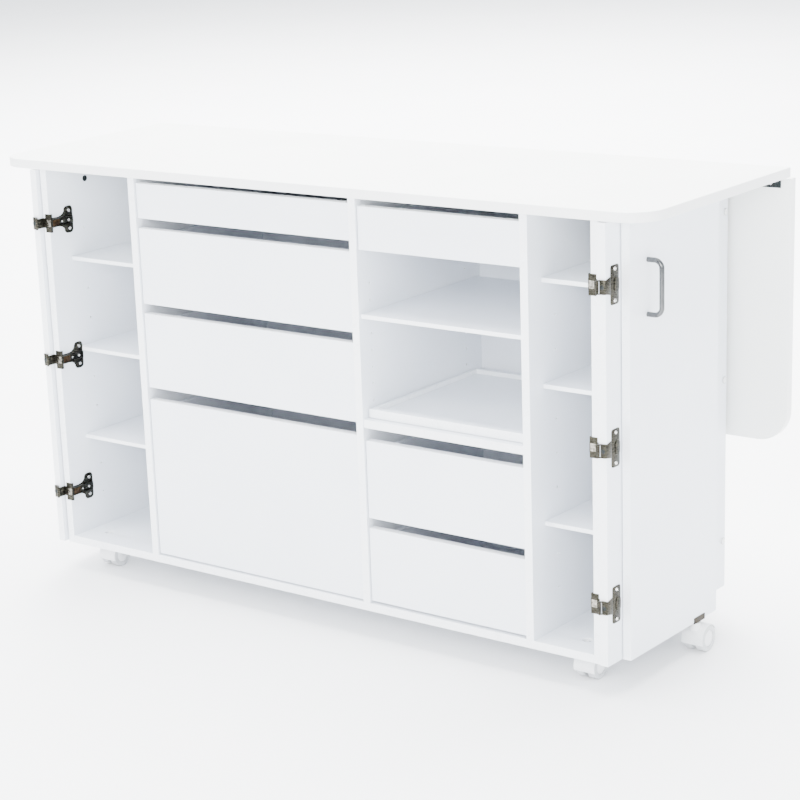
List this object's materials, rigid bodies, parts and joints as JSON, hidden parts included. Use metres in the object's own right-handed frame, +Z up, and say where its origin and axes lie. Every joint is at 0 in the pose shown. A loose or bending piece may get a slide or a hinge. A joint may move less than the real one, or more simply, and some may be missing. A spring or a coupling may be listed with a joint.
{
  "type": "sewing table",
  "caption": "Rolling sewing table with drawers, open shelf columns and a pull-out tray, folding doors on both sides and a drop leaf along the back.",
  "frame": {"origin": "on the floor, under the middle of the table's footprint", "axes": "+X runs to the right along the front, +Y from the front to the back, +Z up"},
  "size_m": [1.534, 0.5238, 0.882],
  "materials": {
    "laminate_top": "white textured laminate on board",
    "laminate_white": "smooth white laminate on board, edges banded",
    "drawer_board": "white laminate on board with white steel runners",
    "runner_white": "white powder-coated steel",
    "hinge_nickel": "satin nickel plate",
    "steel": "bright zinc plate",
    "steel_dark": "dark rolled steel",
    "bracket_bronze": "brown-lacquered steel",
    "chrome": "polished",
    "plastic_white": "moulded, slightly glossy",
    "wheel_white": "moulded nylon"
  },
  "bodies": {
    "cabinet": {"worktop": "laminate_top", "side_left": "laminate_white", "side_right": "laminate_white", "divider_1": "laminate_white", "divider_2": "laminate_white", "divider_3": "laminate_white", "bottom_panel": "laminate_white", "back_panel": "laminate_white", "top_rails": "laminate_white", "tray_shelf": "laminate_white", "shelves_left": "laminate_white", "shelves_right": "laminate_white", "shelf_middle": "laminate_white", "shelf_pins": "steel", "rear_fins": "laminate_white", "gates": "laminate_white", "gate_hinges": "steel_dark", "drawer_runners": "runner_white", "door_hinge_plates": "hinge_nickel", "leaf_hinge_fixed": "steel_dark", "caster_sockets": "steel"},
    "drawer_wide_1": {"drawer_wide_1_front": "laminate_white", "drawer_wide_1_box": "drawer_board"},
    "drawer_wide_2": {"drawer_wide_2_front": "laminate_white", "drawer_wide_2_box": "drawer_board"},
    "drawer_wide_3": {"drawer_wide_3_front": "laminate_white", "drawer_wide_3_box": "drawer_board"},
    "drawer_wide_4": {"drawer_wide_4_front": "laminate_white", "drawer_wide_4_box": "drawer_board"},
    "drawer_middle_1": {"drawer_middle_1_front": "laminate_white", "drawer_middle_1_box": "drawer_board"},
    "drawer_middle_2": {"drawer_middle_2_front": "laminate_white", "drawer_middle_2_box": "drawer_board"},
    "drawer_middle_3": {"drawer_middle_3_front": "laminate_white", "drawer_middle_3_box": "drawer_board"},
    "tray": {"tray": "laminate_white"},
    "door_left_inner": {"door_left_inner": "laminate_white", "door_left_inner_hinges": "hinge_nickel"},
    "door_left_outer": {"door_left_outer": "laminate_white", "door_left_outer_fittings": "bracket_bronze", "handle_left": "chrome"},
    "door_right_inner": {"door_right_inner": "laminate_white", "door_right_inner_hinges": "hinge_nickel"},
    "door_right_outer": {"door_right_outer": "laminate_white", "door_right_outer_fittings": "bracket_bronze", "handle_right": "chrome"},
    "drop_leaf": {"drop_leaf": "laminate_top", "leaf_hinge_moving": "steel_dark"},
    "caster_front_left_swivel": {"caster_front_left_hood": "plastic_white"},
    "caster_front_left_roll": {"caster_front_left_wheels": "wheel_white"},
    "caster_front_right_swivel": {"caster_front_right_hood": "plastic_white"},
    "caster_front_right_roll": {"caster_front_right_wheels": "wheel_white"},
    "caster_rear_left_swivel": {"caster_rear_left_hood": "plastic_white"},
    "caster_rear_left_roll": {"caster_rear_left_wheels": "wheel_white"},
    "caster_rear_right_swivel": {"caster_rear_right_hood": "plastic_white"},
    "caster_rear_right_roll": {"caster_rear_right_wheels": "wheel_white"},
    "caster_door_left_swivel": {"caster_door_left_hood": "plastic_white"},
    "caster_door_left_roll": {"caster_door_left_wheels": "wheel_white"},
    "caster_door_right_swivel": {"caster_door_right_hood": "plastic_white"},
    "caster_door_right_roll": {"caster_door_right_wheels": "wheel_white"}
  },
  "joints": [
    {"name": "drawer_wide_1_slide", "type": "slide", "parent": "cabinet", "child": "drawer_wide_1", "axis": [0, -1, 0], "range_m": [0, 0.27]},
    {"name": "drawer_wide_2_slide", "type": "slide", "parent": "cabinet", "child": "drawer_wide_2", "axis": [0, -1, 0], "range_m": [0, 0.27]},
    {"name": "drawer_wide_3_slide", "type": "slide", "parent": "cabinet", "child": "drawer_wide_3", "axis": [0, -1, 0], "range_m": [0, 0.27]},
    {"name": "drawer_wide_4_slide", "type": "slide", "parent": "cabinet", "child": "drawer_wide_4", "axis": [0, -1, 0], "range_m": [0, 0.27]},
    {"name": "drawer_middle_1_slide", "type": "slide", "parent": "cabinet", "child": "drawer_middle_1", "axis": [0, -1, 0], "range_m": [0, 0.27]},
    {"name": "drawer_middle_2_slide", "type": "slide", "parent": "cabinet", "child": "drawer_middle_2", "axis": [0, -1, 0], "range_m": [0, 0.27]},
    {"name": "drawer_middle_3_slide", "type": "slide", "parent": "cabinet", "child": "drawer_middle_3", "axis": [0, -1, 0], "range_m": [0, 0.27]},
    {"name": "tray_slide", "type": "slide", "parent": "cabinet", "child": "tray", "axis": [0, -1, 0], "range_m": [0, 0.24]},
    {"name": "door_left_hinge", "type": "hinge", "parent": "cabinet", "child": "door_left_inner", "pos_m": [-0.6695, -0.2594, 0.462], "axis": [0, 0, -1], "range_deg": [-270, 0]},
    {"name": "door_left_fold", "type": "hinge", "parent": "door_left_inner", "child": "door_left_outer", "pos_m": [-0.684, 0.1013, 0.462], "axis": [0, 0, 1], "range_deg": [-180, 0]},
    {"name": "door_right_hinge", "type": "hinge", "parent": "cabinet", "child": "door_right_inner", "pos_m": [0.6695, -0.2594, 0.462], "axis": [0, 0, 1], "range_deg": [-270, 0]},
    {"name": "door_right_fold", "type": "hinge", "parent": "door_right_inner", "child": "door_right_outer", "pos_m": [0.684, 0.1013, 0.462], "axis": [0, 0, -1], "range_deg": [-180, 0]},
    {"name": "drop_leaf_hinge", "type": "hinge", "parent": "cabinet", "child": "drop_leaf", "pos_m": [0, 0.2411, 0.8612], "axis": [1, 0, 0], "range_deg": [0, 90]},
    {"name": "caster_front_left_swivel", "type": "hinge", "parent": "cabinet", "child": "caster_front_left_swivel", "pos_m": [-0.598, -0.1869, 0.05], "axis": [0, 0, 1], "continuous": true},
    {"name": "caster_front_left_roll", "type": "hinge", "parent": "caster_front_left_swivel", "child": "caster_front_left_roll", "pos_m": [-0.598, -0.1729, 0.025], "axis": [1, 0, 0], "continuous": true},
    {"name": "caster_front_right_swivel", "type": "hinge", "parent": "cabinet", "child": "caster_front_right_swivel", "pos_m": [0.598, -0.1869, 0.05], "axis": [0, 0, 1], "continuous": true},
    {"name": "caster_front_right_roll", "type": "hinge", "parent": "caster_front_right_swivel", "child": "caster_front_right_roll", "pos_m": [0.598, -0.1729, 0.025], "axis": [1, 0, 0], "continuous": true},
    {"name": "caster_rear_left_swivel", "type": "hinge", "parent": "cabinet", "child": "caster_rear_left_swivel", "pos_m": [-0.598, 0.0991, 0.05], "axis": [0, 0, 1], "continuous": true},
    {"name": "caster_rear_left_roll", "type": "hinge", "parent": "caster_rear_left_swivel", "child": "caster_rear_left_roll", "pos_m": [-0.598, 0.1131, 0.025], "axis": [1, 0, 0], "continuous": true},
    {"name": "caster_rear_right_swivel", "type": "hinge", "parent": "cabinet", "child": "caster_rear_right_swivel", "pos_m": [0.598, 0.0991, 0.05], "axis": [0, 0, 1], "continuous": true},
    {"name": "caster_rear_right_roll", "type": "hinge", "parent": "caster_rear_right_swivel", "child": "caster_rear_right_roll", "pos_m": [0.598, 0.1131, 0.025], "axis": [1, 0, 0], "continuous": true},
    {"name": "caster_door_left_swivel", "type": "hinge", "parent": "door_left_outer", "child": "caster_door_left_swivel", "pos_m": [-0.693, 0.0363, 0.05], "axis": [0, 0, 1], "continuous": true},
    {"name": "caster_door_left_roll", "type": "hinge", "parent": "caster_door_left_swivel", "child": "caster_door_left_roll", "pos_m": [-0.693, 0.0503, 0.025], "axis": [1, 0, 0], "continuous": true},
    {"name": "caster_door_right_swivel", "type": "hinge", "parent": "door_right_outer", "child": "caster_door_right_swivel", "pos_m": [0.693, 0.0363, 0.05], "axis": [0, 0, 1], "continuous": true},
    {"name": "caster_door_right_roll", "type": "hinge", "parent": "caster_door_right_swivel", "child": "caster_door_right_roll", "pos_m": [0.693, 0.0503, 0.025], "axis": [1, 0, 0], "continuous": true}
  ],
  "couplings": [
    {"joint": "door_left_fold", "follows": "door_left_hinge", "ratio": 0.66667},
    {"joint": "door_right_fold", "follows": "door_right_hinge", "ratio": 0.66667}
  ]
}
